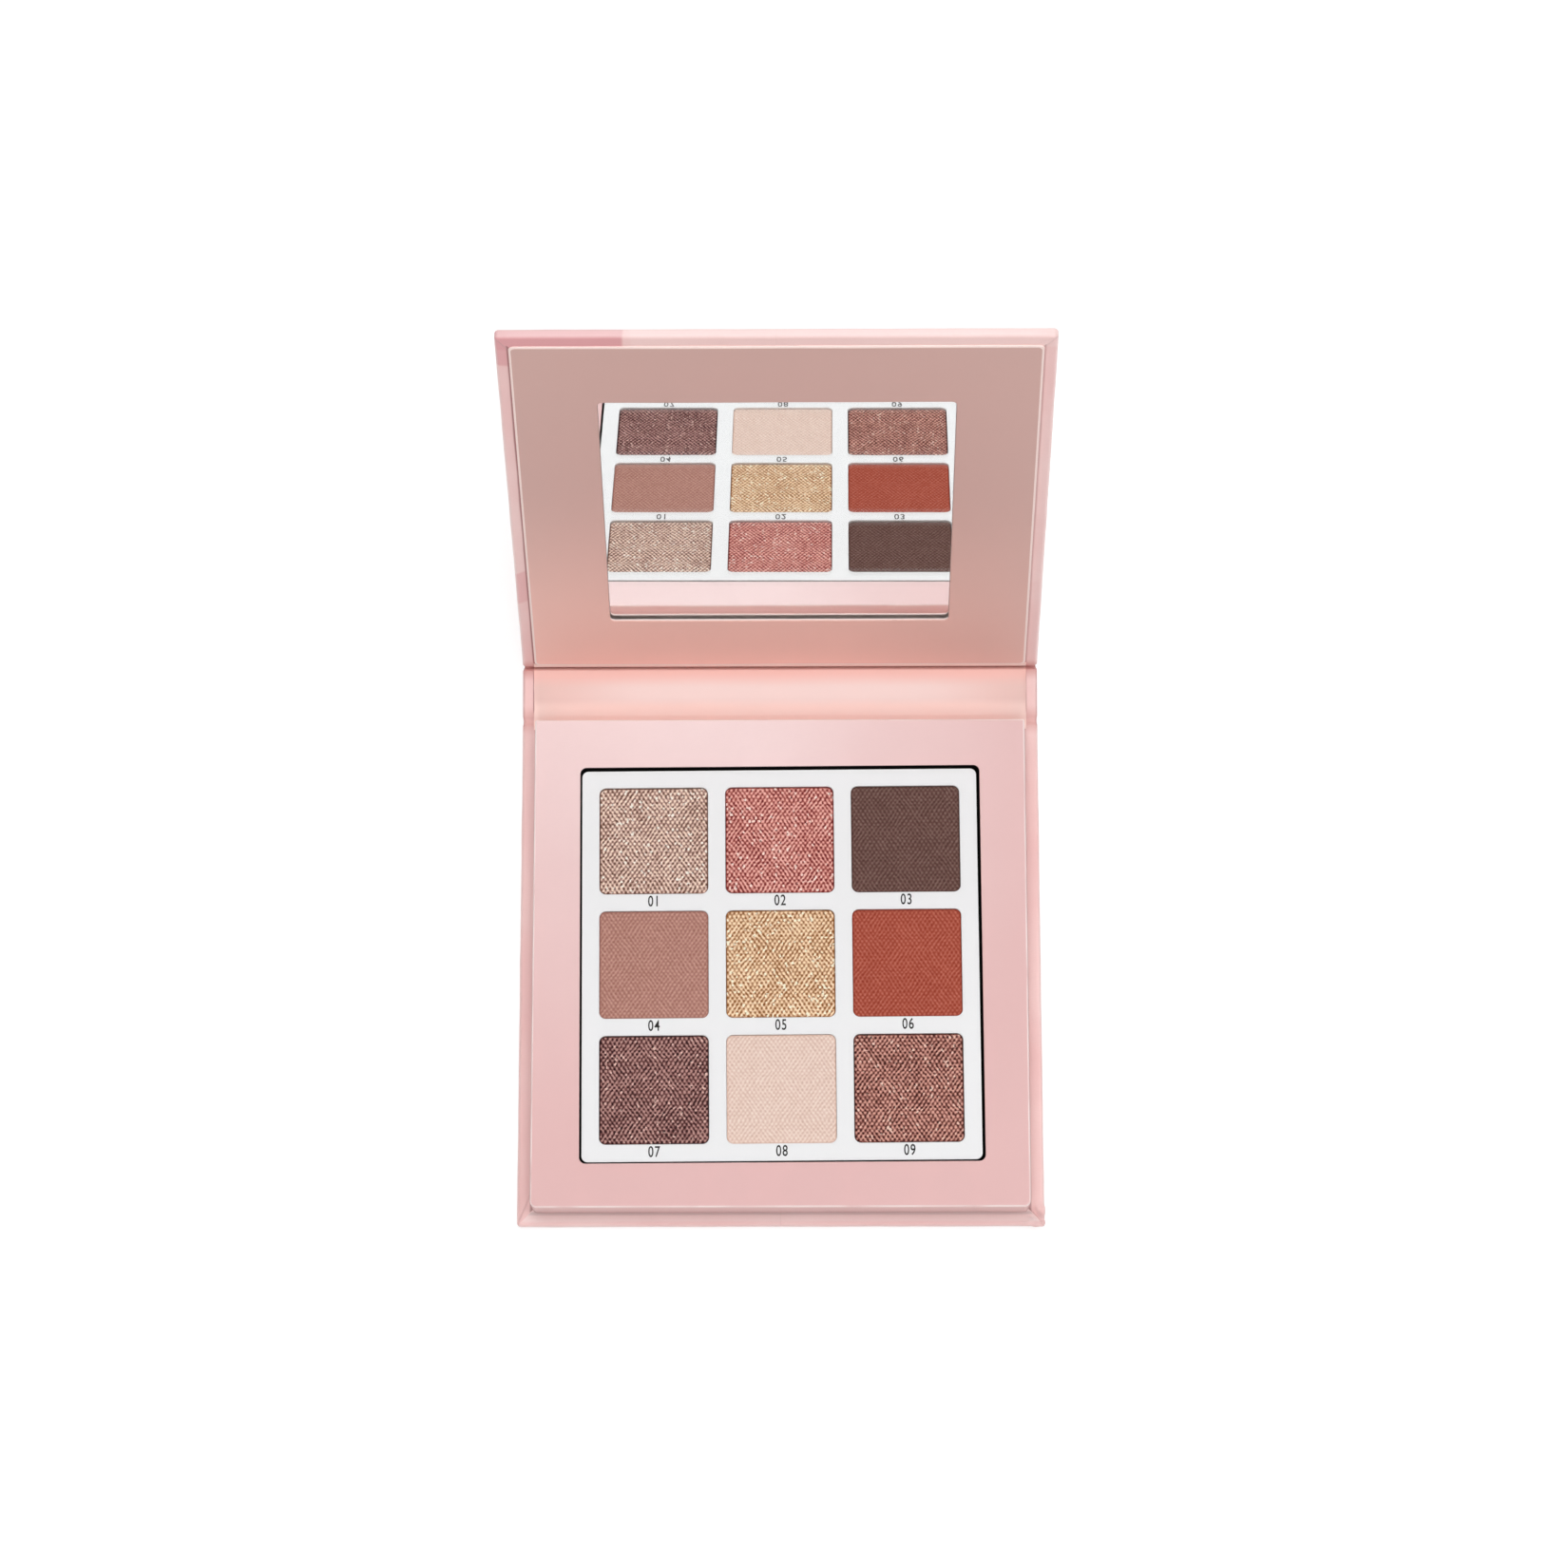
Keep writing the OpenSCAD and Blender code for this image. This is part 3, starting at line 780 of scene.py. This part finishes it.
# Wrap paper between two places along the case: the section over the edges, carried along s. In a hinge gap
# the inner layer sinks towards the outer one and the edges draw in.
def wrapStrip(name, node, start, end, steps):
    section = edgeSection()
    count = section[0].size
    side = np.r_[-np.ones(count), np.ones(count - 1)]
    inset, height, normalIn, normalUp, unrolled = [np.r_[part, part[-2::-1]] for part in section]
    s = np.linspace(start, end, steps)[:, None]
    drawn = sheet["sidePull"] * (gapBump(s, lidLine) + 0.4 * gapBump(s, baseLine))
    share = (height + midPlane) / boardThick
    sides = []
    for depth in (0, sheet["paper"]):
        x = side * (halfWidth - (inset - depth * normalIn) - drawn)
        level = height - depth * normalUp
        level = level - pinch(s) * share + gathers(x, s) * smooth(share * 2 - 1)
        sides.append(toRest(x, s + 0 * x, level))
    uv = np.stack(np.broadcast_arrays(side * (halfWidth - unrolled), s), axis=-1)
    # painted shade on the rolled edges of the spine and hinge wraps
    rim = smooth(-normalIn * 1.4 - 0.3)[None, :] + 0 * x
    return makePiece(name, closedSheet(*sides, uv, rim), [wrapPaper], None, [node])


# Liner paper between two places along the case: straight across, at the height of the wrap's inner layer
# with the same pinch and gathers, plus slow ripples and a lifted edge over the spine.
def linerStrip(name, node, start, end, steps):
    s = np.linspace(start, end, steps)[:, None]
    t = np.linspace(-1, 1, 161)[None, :]
    edge = 0.06 * ripple(s, 9, 21)
    x = t * sheet["linerHalf"] + np.sign(t) * edge * np.abs(t) ** 8
    wave = 0.03 * ripple(x, 31, 5) * gapBump(s, lidLine)
    top = midPlane - pinch(s) + gathers(x, s) * 0.6 + wave
    buckle = 0.05 * ripple(x, 26, 9) * smooth((s - spineStart) / 2) * smooth((spineEnd - s) / 2)
    lift = sheet["edgeLift"] * smooth((np.abs(t) - 0.985) / 0.015)
    buckle = buckle + lift * smooth(1.5 - np.abs(s - spineStart - 4) / 5)
    sides = [toRest(x, s + 0 * x, top + buckle + rise) for rise in (sheet["paper"], 0.01)]
    uv = np.stack(np.broadcast_arrays(x, s), axis=-1)
    return makePiece(name, closedSheet(*sides, uv), [linerPaper], None, [node])


reach = sheet["creaseSpan"] / 2
for maker, prefix in ((wrapStrip, "wrap"), (linerStrip, "liner")):
    baseHinge = maker(
        f"base_hinge_{prefix}_paper", f"base_hinge_{prefix}", caseHigh[1], spineStart, sheet["hingeRows"]
    )
    spine = maker(f"spine_{prefix}_paper", f"spine_{prefix}", spineStart, spineEnd, sheet["spineRows"])
    lidHinge = maker(
        f"lid_hinge_{prefix}_paper", f"lid_hinge_{prefix}", spineEnd, lidStart, sheet["lidHingeRows"]
    )
    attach(spine, "spine")
    creases = [(baseHinge, "base", "spine", baseLine), (lidHinge, "spine", "lid", lidLine)]
    for crease, near, far, line in creases:
        ends = [tuple(toRest(0.0, line + way * reach, 0.0) * mm) for way in (-1, 1)]
        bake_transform(crease)
print("spine and hinges papered")


# Rounded rectangle as a closed loop: along each side, then round its corner as centre + radius times
# (cos b, sin b). One radius serves all corners, or there are four.
def roundedLoop(halfX, halfY, radius, arc, side, centre=(0, 0)):
    radii = np.maximum(np.broadcast_to(radius, 4), 0)
    loop = []
    for k in range(4):
        a = k * math.pi / 2
        alongX, alongY = math.cos(a), math.sin(a)
        reach, out = (halfX, halfY) if k % 2 == 0 else (halfY, halfX)
        start, end = radii[k - 1] - reach, reach - radii[k]
        t = (start + end) / 2 + side * (end - start) / 2
        loop.append(np.stack([t * alongX + out * alongY, t * alongY - out * alongX], axis=-1))
        b = a - math.pi / 2 + np.linspace(0, math.pi / 2, arc + 2)[1:-1]
        out = out - radii[k]
        cx, cy = end * alongX + out * alongY, end * alongY - out * alongX
        loop.append(np.stack([cx + radii[k] * np.cos(b), cy + radii[k] * np.sin(b)], axis=-1))
    return np.concatenate(loop) + np.array(centre)


# from -1 to 1 with the points closer at the ends
def denseEnds(count):
    t = np.linspace(-1, 1, count)
    return np.sign(t) * (1 - (1 - np.abs(t)) ** 1.6)


# Quarter circle from a flat into a wall, as pairs of inset and drop
def roundOver(radius, steps):
    angle = np.linspace(0, math.pi / 2, steps)
    return [(radius * (1 - math.sin(a)), radius * (1 - math.cos(a))) for a in angle]


# a loop at one height
def atHeight(loop, z):
    return np.column_stack([loop, np.full(len(loop), z)])


platform = {
    "paper": 0.2, "edge": 0.34, "edgeRings": 8, "wallRings": 8, "steps": 70, "arc": 9,
    "wellHalf": 38.3, "wellTurn": 0.3, "wellEdge": 0.16, "wellCorner": 1.2,
    "corners": np.array([1.2, 0.4, 0.4, 1.2]),  # the front right one first
}


# The platform's paper: the outline rises up the walls, over a round edge, across the top and over a small
# round edge into the well, and comes back one paper thickness inside.
def platformWrap():
    low, high = corners("platform_wrap")
    wellLow, wellHigh = corners("well_liner")
    outHalf, outMid = (high - low)[:2] / 2, (high + low)[:2] / 2
    wellMid = (wellHigh + wellLow)[:2] / 2
    side = denseEnds(platform["steps"])

    def outer(inset, z):
        halves = outHalf - inset
        return atHeight(roundedLoop(*halves, platform["corners"] - inset, platform["arc"], side, outMid), z)

    def inner(outset, z):
        half = platform["wellHalf"] + outset
        loop = roundedLoop(half, half, platform["wellCorner"] + outset, platform["arc"], side)
        loop = np.stack(turned(loop[:, 0], loop[:, 1], math.radians(platform["wellTurn"])), axis=-1)
        return atHeight(loop + wellMid, z)

    top, floor = high[2], low[2]
    rings, back = [], []
    for z in np.linspace(floor, top - platform["edge"], platform["wallRings"] + 1)[:-1]:
        rings.append(outer(0, z))
        back.append(outer(platform["paper"], z))
    for inset, drop in roundOver(platform["edge"], platform["edgeRings"])[::-1]:
        rings.append(outer(inset, top - drop))
        back.append(outer(max(inset, platform["paper"]), top - max(drop, platform["paper"])))
    first, last = outer(platform["edge"], top), inner(platform["wellEdge"], top)
    for t in smooth(np.linspace(0, 1, 12))[1:-1]:
        flat = first * (1 - t) + last * t
        rings.append(flat)
        back.append(flat - [0, 0, platform["paper"]])
    for outset, drop in roundOver(platform["wellEdge"], 6):
        rings.append(inner(outset, top - drop))
        back.append(inner(max(outset, 0.0), top - platform["paper"] - drop * 0.1))
    points = np.stack(rings + back[::-1], axis=1)
    sway = 0.03 * (ripple(points[..., 0], 61, 31) + ripple(points[..., 1], 53, 32))
    points[..., 2] += sway * smooth((points[..., 2] - top + 1) / 0.8) - 0.03
    # the relief on the edge rings pales the platform's paper there: a painted highlight along with wear
    onEdge = np.zeros(points.shape[1])
    edgeRings = slice(platform["wallRings"], platform["wallRings"] + platform["edgeRings"])
    onEdge[edgeRings] = np.sin(np.linspace(0.35, math.pi, platform["edgeRings"])) ** 0.5
    worn = onEdge[None, :] * np.clip(0.8 + 0.5 * ripple(points[..., 0] + points[..., 1], 19, 33), 0, 1)
    pieces = [patch(points, True, True, relief=worn)]
    makePiece("platform_paper", pieces, [platformPaper], "base", ["platform_wrap"])


platformWrap()


deck = {
    "half": 37.8, "corner": 1.2, "edge": 0.07, "turn": 0.35, "steps": 25, "arc": 8,
    "rows": 3, "pitch": 24.1, "window": 20.8, "windowCorner": 1.3,
    "border": 0.8,  # flat kept round each cut
}
deckLow, deckHigh = corners("deck_card")
deckCentre = (deckLow + deckHigh) / 2
deckTop, deckFloor = deckHigh[2], deckLow[2]


# the deck's own places, turned a little and moved to where it lies
def inWell(points):
    turnAngle = math.radians(deck["turn"])
    x, y = turned(points[..., 0], points[..., 1], turnAngle)
    return np.stack([x + deckCentre[0], y + deckCentre[1], points[..., 2]], axis=-1)


def windowCentres():
    steps = np.arange(deck["rows"]) - (deck["rows"] - 1) / 2
    return [(column * deck["pitch"], -row * deck["pitch"]) for row in steps for column in steps]


# The deck card: round each window a frame of rings from the cell's outline to the window, over a small round
# edge and down the cut; then a border from the nine cells to the card's own outline, whose cut faces the
# other way.
def deckCard():
    cell, side = deck["pitch"] / 2, np.linspace(-1, 1, deck["steps"])
    over = roundOver(deck["edge"], 4)

    def frameOf(cellLoop, half, corner, way, side, centre):
        def cutLoop(inset):
            reach = half + way * inset
            return roundedLoop(reach, reach, corner + way * inset, deck["arc"], side, centre)

        rings = [atHeight(cellLoop, deckTop), atHeight(cutLoop(deck["border"]), deckTop)]
        rings += [atHeight(cutLoop(inset), deckTop - drop) for inset, drop in over]
        rings += [atHeight(cutLoop(inset), deckFloor + drop) for inset, drop in over[::-1]]
        rings += [atHeight(cutLoop(deck["border"]), deckFloor), atHeight(cellLoop, deckFloor)]
        slots = [0] * (len(over) + 1) + [1] + [0] * (len(over) + 1)
        return patch(inWell(np.stack(rings, axis=1)), True, slot=slots)

    patches = []
    for centre in windowCentres():
        cellLoop = roundedLoop(cell, cell, 0, deck["arc"], side, centre)
        patches.append(frameOf(cellLoop, deck["window"] / 2, deck["windowCorner"], 1, side, centre))
    fullSide = np.linspace(-1, 1, deck["rows"] * (deck["steps"] - 1) + 1)
    reach = deck["rows"] * cell
    cellsLoop = roundedLoop(reach, reach, 0, deck["arc"], fullSide)
    patches.append(frameOf(cellsLoop, deck["half"], deck["corner"], -1, fullSide, (0, 0)))
    materials = [cardWhite, cardCut]
    makePiece("windowed_deck_card", patches, materials, "base", ["deck_card"], sharp=50)


deckCard()
print("platform and deck made")


# Height of the pressed weave from 0 to 1: two slanted twills, of which a slow pattern lets one or the other
# lead, crossed by the threads' own ribs
def weave(x, y, pitch, seed):
    k = 2 * math.pi / pitch
    wander = 0.12 * ripple(x, 7, seed) + 0.12 * ripple(y, 6, seed + 1)
    first = np.sin(k * (x * 0.82 + y * 0.57 + wander))
    second = np.sin(k * (x * 0.82 - y * 0.57 - wander))
    rib = np.sin(k * (y + 0.25 * wander))
    lead = 0.5 + 0.22 * (ripple(x + 0.6 * y, 9, seed + 2) + ripple(y - 0.4 * x, 8, seed + 3))
    mixed = lead * first + (1 - lead) * second
    return np.clip(0.5 + 0.5 * mixed + 0.12 * rib, 0, 1)


cake = {"half": 10.35, "corner": 1.15, "lip": 0.5, "drop": 0.16, "steps": 201, "crown": 0.08}


# A cake of powder: a square grid whose ends close to rounded corners, crowned a little, with the weave in
# its face and a soft lip at its edge; then walls down to the pan's floor and a bottom.
def powderCake(number, centre, look):
    low, high = corners(f"powder_{number}")
    half, corner = cake["half"], cake["corner"]
    t = np.linspace(-1, 1, cake["steps"])
    a, b = np.meshgrid(t, t, indexing="ij")
    y = b * half
    over = np.clip(np.abs(y) - (half - corner), 0, corner)
    x = a * (half - corner + np.sqrt(np.maximum(corner**2 - over**2, 0)))
    qx, qy = np.abs(x) - half + corner, np.abs(y) - half + corner
    inside = corner - np.hypot(np.maximum(qx, 0), np.maximum(qy, 0)) - np.minimum(np.maximum(qx, qy), 0)
    seed = 40 + 5 * number
    relief = weave(x, y, look["pitch"], seed)
    press = smooth(inside / 0.35)
    worn = 0.75 + 0.25 * ripple(x + y, 13, seed + 4)
    z = high[2] - cake["drop"] * (1 - smooth(inside / cake["lip"]))
    z = z + look["depth"] * (relief - 1) * press * worn
    z = z - cake["crown"] * 0.5 * (1 - (1 - (x / half) ** 2) * (1 - (y / half) ** 2))
    z = z + 0.04 * ripple(x, 15, seed + 6) * press
    grid = np.stack([x + centre[0], y + centre[1], z], axis=-1)
    loop = np.concatenate([grid[:-1, 0], grid[-1, :-1], grid[:0:-1, -1], grid[0, :0:-1]])
    wall = [loop]
    for share in (0.4, 1.0):
        wall.append(np.column_stack([loop[:, :2], loop[:, 2] * (1 - share) + low[2] * share]))
    pole = np.tile([centre[0], centre[1], low[2]], (len(loop), 1))
    wall.append(pole)
    shown = np.clip(relief * press * 0.9 + 0.1 * worn, 0, 1)
    faces = [patch(inWell(grid), relief=shown), patch(inWell(np.stack(wall, axis=1)), True)]
    material = pressedPowder(number, look)
    node = f"powder_{number}"
    makePiece(f"powder_cake_{number}", faces, [material], "base", [node], sharp=60)


for number, (centre, powder) in enumerate(zip(windowCentres(), powders), 1):
    powderCake(number, centre, powderLook(*powder))
print("powders pressed")


# capShare is the height of a digit over the font's size
labels = {
    "cap": 2.1, "capShare": 0.72, "narrow": 0.72, "spacing": 1.15,
    "bold": 0.012, "below": 1.5, "raise": 0.012,
}


# Two-digit numbers printed under the windows, with a thin body so that they are closed solids
def shadeNumbers():
    shape = bmesh.new()
    below = deck["window"] / 2 + labels["below"]
    for number, (cx, cy) in enumerate(windowCentres(), 1):
        text = bpy.data.curves.new(f"number_{number}", "FONT")
        text.body, text.align_x, text.align_y = f"{number:02d}", "CENTER", "CENTER"
        text.size = labels["cap"] * mm / labels["capShare"]
        text.space_character = labels["spacing"]
        text.offset = labels["bold"] * text.size
        text.extrude = labels["raise"] * mm
        holder = placed(f"number_{number}", text)
        bpy.context.view_layer.update()
        depsgraph = bpy.context.evaluated_depsgraph_get()
        mesh = bpy.data.meshes.new_from_object(holder.evaluated_get(depsgraph))
        bpy.data.objects.remove(holder)
        places = np.empty(len(mesh.vertices) * 3, np.float32)
        mesh.vertices.foreach_get("co", places)
        places = places.reshape(-1, 3) / mm * [labels["narrow"], 1, 1]
        places = inWell(places + [cx, cy - below, deckTop + labels["raise"]])
        mesh.vertices.foreach_set("co", (places * mm).astype(np.float32).ravel())
        shape.from_mesh(mesh)
    bmesh.ops.remove_doubles(shape, verts=shape.verts, dist=1e-7)
    bmesh.ops.recalc_face_normals(shape, faces=shape.faces)
    mesh = bpy.data.meshes.new("shade_numbers")
    shape.to_mesh(mesh)
    shape.free()
    mesh.materials.append(ink)
    piece = placed("shade_numbers", mesh)
    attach(piece, "base")


shadeNumbers()


lining = {
    "thick": 0.5, "edge": 0.16, "half": 47.6, "start": 2.0, "margin": 2.4, "corner": 0.9,
    "windowHalf": 32.4, "windowAt": 48.6, "windowCorner": 1.0, "steps": 60, "arc": 8,
    "clear": 0.005,  # above the board
    "tuck": 0.6,  # a ring of its underside beside each cut
}


# The lid's liner card, in the lid's own plane: its face runs from the outline to the mirror's window, with
# small round edges and pale cut sides; the outer round edge is pale too, a painted highlight
def lidLiner():
    top, floor = midPlane + lining["thick"], midPlane + lining["clear"]
    outMid = (0, (lining["start"] + caseDepth + halfGap - lining["margin"]) / 2)
    outHalf = (lining["half"], outMid[1] - lining["start"])
    side = denseEnds(lining["steps"])

    def outline(inset, h):
        halves = outHalf[0] - inset, outHalf[1] - inset
        return atHeight(roundedLoop(*halves, lining["corner"] - inset, lining["arc"], side, outMid), h)

    def window(outset, h):
        half = lining["windowHalf"] + outset
        radius = lining["windowCorner"] + outset
        return atHeight(roundedLoop(half, half, radius, lining["arc"], side, (0, lining["windowAt"])), h)

    over = roundOver(lining["edge"], 4)
    first, last = outline(lining["edge"], top), window(lining["edge"], top)
    between = smooth(np.linspace(0, 1, 14))[1:-1]
    rings = [outline(lining["tuck"], floor), outline(0, floor)]
    rings += [outline(inset, top - drop) for inset, drop in over[::-1]]
    rings += [first * (1 - t) + last * t for t in between]
    rings += [window(outset, top - drop) for outset, drop in over]
    rings += [window(0, floor), window(lining["tuck"], floor)]
    # pale on the outline's cut side and round edge, the round edge's paleness a painted highlight, and on
    # the window's cut side
    slots = [1] * (len(over) + 2) + [0] * (len(between) + len(over) - 1) + [1] * 3
    flat = np.stack(rings, axis=1)
    wave = 0.05 * (ripple(flat[..., 0], 70, 61) + ripple(flat[..., 1], 80, 62))
    wave = wave * smooth((flat[..., 2] - floor) / 0.4)
    points = toRest(flat[..., 0], flat[..., 1] + lidLine, flat[..., 2] + wave)
    uv = flat[..., :2] + [0, lidLine]
    pieces = [patch(points, True, True, slot=slots, uv=uv)]
    makePiece("lid_liner_card", pieces, [linerFace, linerCut], "lid", ["lid_liner"], sharp=50)


glass = {"half": 34.0, "low": 0.12, "thick": 0.87, "arris": 0.08, "corner": 0.6, "core": 20, "arc": 5}


# The mirror's glass, a hair clear of its silvering: rounded squares from the middle of one face, over a
# ground arris, up the edge and back to the middle of the other face
def mirrorGlass():
    low, high = glass["low"], glass["low"] + glass["thick"]
    arris, core, middle = glass["arris"], glass["core"], (0, lining["windowAt"])
    profile = [(core, low), (arris, low), (0, low + arris), (0, high - arris), (arris, high), (core, high)]
    side = np.linspace(-1, 1, 12)
    rings = []
    for inset, h in profile:
        half, radius = glass["half"] - inset, max(glass["corner"] - inset, 0.05)
        rings.append(atHeight(roundedLoop(half, half, radius, glass["arc"], side, middle), h))
    poles = [ring * [0, 0, 1] + [*middle, 0] for ring in (rings[0], rings[-1])]
    flat = np.stack([poles[0], *rings, poles[1]], axis=1)
    points = toRest(flat[..., 0], flat[..., 1] + lidLine, flat[..., 2])
    pieces = [patch(points, True)]
    makePiece("mirror_plate", pieces, [clearGlass()], "lid", ["mirror_glass"], sharp=20)


lidLiner()
mirrorGlass()
print("lid lined")


# metres, degrees and watts
studio = {
    "floorHalf": 3.0,
    "floorPoints": 9,
    "floorDrop": 0.05,
    "floorGlow": 0.6,
    "floorTone": 0.5,
    "sky": 0.14,
    "aim": (0, 0.02, 0.02),
    "distance": 1.0,
    # name, azimuth from +X, elevation, side, power, and what it serves: all, diffuse or glossy
    "softboxes": [
        ("key", 0, 58, 0.45, 2.7, "all"),
        ("front", 270, 58, 0.45, 3.1, "diffuse"),
        ("back_left", 135, 58, 0.45, 1.0, "all"),
        ("left_low", 180, 30, 0.45, 0.7, "all"),
        ("overhead", 90, 78, 0.45, 2.4, "diffuse"),
        ("back_low", 90, 35, 0.45, 1.6, "all"),
        ("front_card", 270, 45, 0.9, 3.4, "glossy"),
    ],
}
# millimetres and degrees
view = {
    "target": (0.7766, 36.498, 5.0),
    "distance": 877.49,
    "azimuth": 1.343,
    "elevation": 76.827,
    "roll": -1.458,
    "lens": 104.358,
}


def makeFloor():
    half, z = studio["floorHalf"], -studio["floorDrop"] * mm
    count = studio["floorPoints"]
    t = np.linspace(-half, half, count)
    x, y = np.meshgrid(t, t, indexing="ij")
    mesh = bpy.data.meshes.new("floor")
    points = np.stack([x, y, np.full_like(x, z)], axis=-1).reshape(-1, 3)
    mesh.from_pydata(points.tolist(), [], gridFaces(count, count).tolist())
    paint = Paint("white sweep", roughness=0.9, specular=0.1)
    paint.set("Base Color", (*[studio["floorTone"]] * 3, 1))
    paint.set("Emission Color", (1, 1, 1, 1))
    paint.set("Emission Strength", studio["floorGlow"])
    mesh.materials.append(paint.material)
    placed("floor", mesh)


def softbox(name, azimuth, elevation, size, power, serves):
    a, e = math.radians(azimuth), math.radians(elevation)
    lamp = bpy.data.lights.new(name, "AREA")
    lamp.energy, lamp.size = power, size
    holder = placed(name, lamp)
    holder.visible_diffuse, holder.visible_glossy = serves != "glossy", serves != "diffuse"
    away = np.array([math.cos(a) * math.cos(e), math.sin(a) * math.cos(e), math.sin(e)])
    holder.location = np.array(studio["aim"]) + away * studio["distance"]
    holder.rotation_euler = (math.pi / 2 - e, 0, a + math.pi / 2)


def makeCamera():
    a, e = math.radians(view["azimuth"]), math.radians(view["elevation"])
    roll = math.radians(view["roll"])
    back = np.array([math.sin(a) * math.cos(e), -math.cos(a) * math.cos(e), math.sin(e)])
    right = np.cross(-back, [0, 0, 1])
    right = right / np.linalg.norm(right)
    up = np.cross(right, -back)
    x = right * math.cos(roll) + up * math.sin(roll)
    y = up * math.cos(roll) - right * math.sin(roll)
    place = (np.array(view["target"]) + back * view["distance"]) * mm
    lens = bpy.data.cameras.new("camera")
    lens.lens, lens.sensor_width = view["lens"], 36
    lens.clip_start, lens.clip_end = 0.01, 20
    holder = placed("camera", lens)
    turn = np.eye(4)
    turn[:3, :3] = np.column_stack([x, y, back])
    turn[:3, 3] = place
    holder.matrix_world = Matrix(turn.tolist())
    bpy.context.scene.camera = holder


def makeWorld():
    world = bpy.data.worlds.new("studio")
    bpy.context.scene.world = world
    world.use_nodes = True
    background = world.node_tree.nodes["Background"]
    background.inputs["Color"].default_value = (1, 1, 1, 1)
    background.inputs["Strength"].default_value = studio["sky"]
    bpy.context.scene.view_settings.view_transform = "Standard"


makeFloor()
makeWorld()
for box in studio["softboxes"]:
    softbox(*box)
makeCamera()
print("studio lit")
